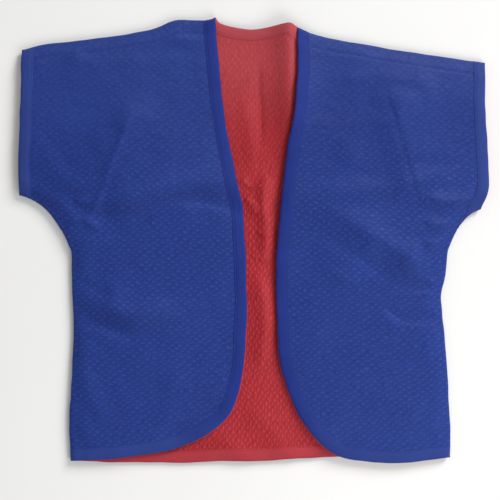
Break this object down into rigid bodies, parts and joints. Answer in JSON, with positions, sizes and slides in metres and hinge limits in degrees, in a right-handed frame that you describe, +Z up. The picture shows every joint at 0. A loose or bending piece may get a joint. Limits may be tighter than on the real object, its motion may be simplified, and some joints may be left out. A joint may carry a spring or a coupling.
{
  "type": "wrestling vest",
  "caption": "Short-sleeved reversible wrestling jacket with an open front and rounded corners, blue outside and red inside, taped edges, laid flat; the fronts fold open",
  "frame": {"origin": "under the middle of the vest's bounding box, on the surface that it lies on", "axes": "+X from the wearer's right sleeve to the left one, +Y from the hem to the neck, +Z up out of the front of the vest as it lies on its back"},
  "size_m": [0.7058, 0.67, 0.0196],
  "materials": {
    "blue_cloth": "rice-grain woven cotton, matte",
    "blue_tape": "plain woven cotton tape, matte",
    "red_cloth": "rice-grain woven cotton, matte",
    "red_tape": "plain woven cotton tape, matte",
    "felt": "thin cotton felt",
    "seam_tape": "plain woven cotton tape",
    "blue_thread": "spun sewing thread",
    "red_thread": "spun sewing thread"
  },
  "bodies": {
    "garment": {"shell_back": "blue_cloth", "interlining_back": "felt", "lining_back": "red_cloth", "blue_neck_band": "blue_tape", "red_neck_band": "red_tape", "blue_hem_band": "blue_tape", "red_hem_band": "red_tape", "blue_cuff_back_right": "blue_tape", "blue_cuff_back_left": "blue_tape", "red_cuff_back_right": "red_tape", "red_cuff_back_left": "red_tape", "shell_front_side_right": "blue_cloth", "shell_front_side_left": "blue_cloth", "interlining_front_side_right": "felt", "interlining_front_side_left": "felt", "lining_front_side_right": "red_cloth", "lining_front_side_left": "red_cloth", "blue_cuff_front_right": "blue_tape", "blue_cuff_front_left": "blue_tape", "red_cuff_front_right": "red_tape", "red_cuff_front_left": "red_tape", "shoulder_tape_right": "seam_tape", "shoulder_tape_left": "seam_tape", "underarm_tape_right": "seam_tape", "underarm_tape_left": "seam_tape", "side_tape_right": "seam_tape", "side_tape_left": "seam_tape", "cuff_topstitch_right": "blue_thread", "cuff_topstitch_left": "blue_thread", "shoulder_topstitch_right": "blue_thread", "shoulder_topstitch_left": "blue_thread", "neck_topstitch": "red_thread", "hem_topstitch": "red_thread"},
    "front_right": {"shell_front_flap_right": "blue_cloth", "interlining_front_flap_right": "felt", "lining_front_flap_right": "red_cloth", "blue_front_band_right": "blue_tape", "red_front_band_right": "red_tape", "front_topstitch_right": "blue_thread"},
    "front_left": {"shell_front_flap_left": "blue_cloth", "interlining_front_flap_left": "felt", "lining_front_flap_left": "red_cloth", "blue_front_band_left": "blue_tape", "red_front_band_left": "red_tape", "front_topstitch_left": "blue_thread"}
  },
  "joints": [
    {"name": "front_right_fold", "type": "hinge", "parent": "garment", "child": "front_right", "pos_m": [-0.16625, 0.0015, 0.0199], "axis": [-0.31, -0.9507, 0], "range_deg": [0, 170]},
    {"name": "front_left_fold", "type": "hinge", "parent": "garment", "child": "front_left", "pos_m": [0.182, -0.004, 0.0199], "axis": [-0.3363, 0.9417, 0], "range_deg": [0, 170]}
  ]
}
